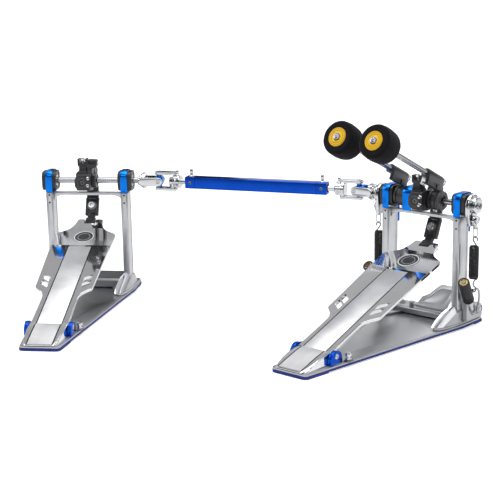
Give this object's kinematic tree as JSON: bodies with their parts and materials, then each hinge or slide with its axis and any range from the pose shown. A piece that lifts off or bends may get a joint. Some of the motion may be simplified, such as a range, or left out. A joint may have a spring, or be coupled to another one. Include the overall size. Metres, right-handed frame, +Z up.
{
  "type": "double bass drum pedal",
  "caption": "Double bass drum pedal: a main pedal with twin felt beaters and a slave pedal joined by a telescopic drive shaft with universal joints.",
  "frame": {"origin": "on the floor under the middle of the main pedal's axle", "axes": "+X along the main axle to the drummer's right, +Y towards the drum, +Z up"},
  "size_m": [0.685, 0.5081, 0.3052],
  "materials": {
    "aluminium": "satin cast and rolled aluminium",
    "polished": "polished cast aluminium",
    "chrome": "bright plated steel",
    "blue": "bright blue anodised aluminium",
    "black": "satin black painted metal",
    "rubber": "moulded blue rubber",
    "felt": "dense black felt"
  },
  "bodies": {
    "main_frame": {"main_rubber_sheet": "rubber", "main_base_plate": "aluminium", "main_cross_foot": "aluminium", "main_left_post": "aluminium", "main_right_post": "aluminium", "main_crossbar": "aluminium", "main_left_bearing_housing": "black", "main_right_bearing_housing": "black", "main_centre_bearing_housing": "black", "main_left_bearing_band": "blue", "main_right_bearing_band": "blue", "main_centre_bearing_band": "blue", "main_heel_plate": "aluminium", "main_heel_hinge": "blue", "left_spring_bracket": "aluminium", "right_spring_bracket": "aluminium"},
    "left_spring": {"left_return_spring": "black"},
    "right_spring": {"right_return_spring": "black"},
    "left_spring_top": {"left_spring_hook": "chrome"},
    "right_spring_top": {"right_spring_hook": "chrome"},
    "main_footboard": {"main_footboard": "polished"},
    "main_link": {"main_link": "black"},
    "right_axle": {"main_axle": "aluminium", "main_drive_hub": "black", "right_beater_holder": "black", "right_spring_lever": "chrome"},
    "right_beater": {"right_beater_rod": "chrome", "right_beater_head": "felt"},
    "left_shaft": {"left_beater_shaft": "aluminium", "left_beater_holder": "black", "left_spring_lever": "chrome", "main_axle_yoke": "chrome"},
    "left_beater": {"left_beater_rod": "chrome", "left_beater_head": "felt"},
    "main_cross": {"main_joint_cross": "blue"},
    "inner_rod": {"main_rod_yoke": "chrome"},
    "left_knob": {"left_tension_knob": "black"},
    "right_knob": {"right_tension_knob": "black"},
    "hoop_jaw": {"hoop_clamp_jaw": "aluminium"},
    "slave_frame": {"slave_rubber_sheet": "rubber", "slave_base_plate": "aluminium", "slave_cross_foot": "aluminium", "slave_left_post": "aluminium", "slave_right_post": "aluminium", "slave_crossbar": "aluminium", "slave_left_bearing_housing": "black", "slave_right_bearing_housing": "black", "slave_left_bearing_band": "blue", "slave_right_bearing_band": "blue", "slave_heel_plate": "aluminium", "slave_heel_hinge": "blue"},
    "slave_footboard": {"slave_footboard": "polished"},
    "slave_link": {"slave_link": "black"},
    "slave_axle": {"slave_axle": "aluminium", "slave_drive_hub": "black", "slave_axle_yoke": "chrome"},
    "slave_cross": {"slave_joint_cross": "blue"},
    "drive_tube": {"drive_tube": "blue", "slave_rod_yoke": "chrome"}
  },
  "joints": [
    {"name": "right_axle_turn", "type": "hinge", "parent": "main_frame", "child": "right_axle", "pos_m": [0, 0, 0.18], "axis": [1, 0, 0], "range_deg": [-64, 0], "stiffness_Nm_per_rad": 0.6, "springref_deg": 17.19},
    {"name": "main_footboard_hinge", "type": "hinge", "parent": "main_frame", "child": "main_footboard", "pos_m": [0, -0.2605, 0.018], "axis": [1, 0, 0], "range_deg": [-6.5, 0]},
    {"name": "main_link_pivot", "type": "hinge", "parent": "main_footboard", "child": "main_link", "pos_m": [0, -0.00066, 0.10917], "axis": [1, 0, 0], "range_deg": [-1, 13]},
    {"name": "right_beater_height", "type": "slide", "parent": "right_axle", "child": "right_beater", "axis": [0, -0.9011, 0.4337], "range_m": [-0.015, 0.02], "stiffness_N_per_m": 4000},
    {"name": "drive_shaft_telescope", "type": "slide", "parent": "main_frame", "child": "slave_frame", "axis": [-0.9279, -0.3727, 0], "range_m": [-0.01, 0.03], "stiffness_N_per_m": 4000},
    {"name": "slave_axle_turn", "type": "hinge", "parent": "slave_frame", "child": "slave_axle", "pos_m": [-0.5126, -0.1837, 0.18], "axis": [0.8308, 0.5566, 0], "range_deg": [-64, 0], "stiffness_Nm_per_rad": 0.6, "springref_deg": 17.19},
    {"name": "slave_footboard_hinge", "type": "hinge", "parent": "slave_frame", "child": "slave_footboard", "pos_m": [-0.36761, -0.40012, 0.018], "axis": [0.8308, 0.5566, 0], "range_deg": [-6.5, 0]},
    {"name": "slave_link_pivot", "type": "hinge", "parent": "slave_footboard", "child": "slave_link", "pos_m": [-0.51223, -0.18425, 0.10917], "axis": [0.8308, 0.5566, 0], "range_deg": [-1, 13]},
    {"name": "slave_cross_swivel", "type": "hinge", "parent": "slave_axle", "child": "slave_cross", "pos_m": [-0.41789, -0.12025, 0.18], "axis": [-0.5566, 0.8308, 0], "range_deg": [-1, 12]},
    {"name": "drive_shaft_turn", "type": "hinge", "parent": "slave_frame", "child": "drive_tube", "pos_m": [-0.41789, -0.12025, 0.18], "axis": [0.9279, 0.3727, 0], "range_deg": [-65, 0]},
    {"name": "inner_rod_turn", "type": "hinge", "parent": "main_frame", "child": "inner_rod", "pos_m": [-0.1185, 0, 0.18], "axis": [0.9279, 0.3727, 0], "range_deg": [-65, 0]},
    {"name": "left_shaft_turn", "type": "hinge", "parent": "main_frame", "child": "left_shaft", "pos_m": [0, 0, 0.18], "axis": [1, 0, 0], "range_deg": [-65, 0]},
    {"name": "main_cross_swivel", "type": "hinge", "parent": "left_shaft", "child": "main_cross", "pos_m": [-0.1185, 0, 0.18], "axis": [0, 1, 0], "range_deg": [-22, 1]},
    {"name": "left_beater_height", "type": "slide", "parent": "left_shaft", "child": "left_beater", "axis": [0, -0.9011, 0.4337], "range_m": [-0.015, 0.02], "stiffness_N_per_m": 4000},
    {"name": "right_tension_turn", "type": "hinge", "parent": "main_frame", "child": "right_knob", "pos_m": [0.0715, 0.01, 0.026], "axis": [0.1609, -0.6128, 0.7737], "continuous": true},
    {"name": "left_tension_turn", "type": "hinge", "parent": "main_frame", "child": "left_knob", "pos_m": [-0.0715, 0.01, 0.026], "axis": [-0.1609, -0.6128, 0.7737], "continuous": true},
    {"name": "right_spring_swing", "type": "hinge", "parent": "main_frame", "child": "right_spring", "pos_m": [0.081, -0.002, 0.059], "axis": [1, 0, 0], "range_deg": [-0.5, 9]},
    {"name": "right_spring_stretch", "type": "slide", "parent": "right_spring", "child": "right_spring_top", "axis": [0, 0, 1], "range_m": [-0.0002, 0.0145]},
    {"name": "left_spring_swing", "type": "hinge", "parent": "main_frame", "child": "left_spring", "pos_m": [-0.081, -0.002, 0.059], "axis": [1, 0, 0], "range_deg": [-0.5, 9]},
    {"name": "left_spring_stretch", "type": "slide", "parent": "left_spring", "child": "left_spring_top", "axis": [0, 0, 1], "range_m": [-0.0002, 0.0145]},
    {"name": "hoop_clamp_hinge", "type": "hinge", "parent": "main_frame", "child": "hoop_jaw", "pos_m": [0, -0.006, 0.022], "axis": [1, 0, 0], "range_deg": [-12, 8], "stiffness_Nm_per_rad": 2}
  ],
  "couplings": [
    {"joint": "main_footboard_hinge", "follows": "right_axle_turn", "ratio": 0.0915},
    {"joint": "main_link_pivot", "follows": "right_axle_turn", "ratio": -0.195},
    {"joint": "slave_footboard_hinge", "follows": "slave_axle_turn", "ratio": 0.0915},
    {"joint": "slave_link_pivot", "follows": "slave_axle_turn", "ratio": -0.195},
    {"joint": "slave_cross_swivel", "follows": "slave_axle_turn", "ratio": -0.175},
    {"joint": "drive_shaft_turn", "follows": "slave_axle_turn", "ratio": 1},
    {"joint": "inner_rod_turn", "follows": "slave_axle_turn", "ratio": 1},
    {"joint": "left_shaft_turn", "follows": "slave_axle_turn", "ratio": 1},
    {"joint": "main_cross_swivel", "follows": "slave_axle_turn", "ratio": 0.33},
    {"joint": "right_spring_swing", "follows": "right_axle_turn", "ratio": -0.128},
    {"joint": "right_spring_stretch", "follows": "right_axle_turn", "m_per_rad": -0.0125},
    {"joint": "left_spring_swing", "follows": "slave_axle_turn", "ratio": -0.128},
    {"joint": "left_spring_stretch", "follows": "slave_axle_turn", "m_per_rad": -0.0125}
  ]
}
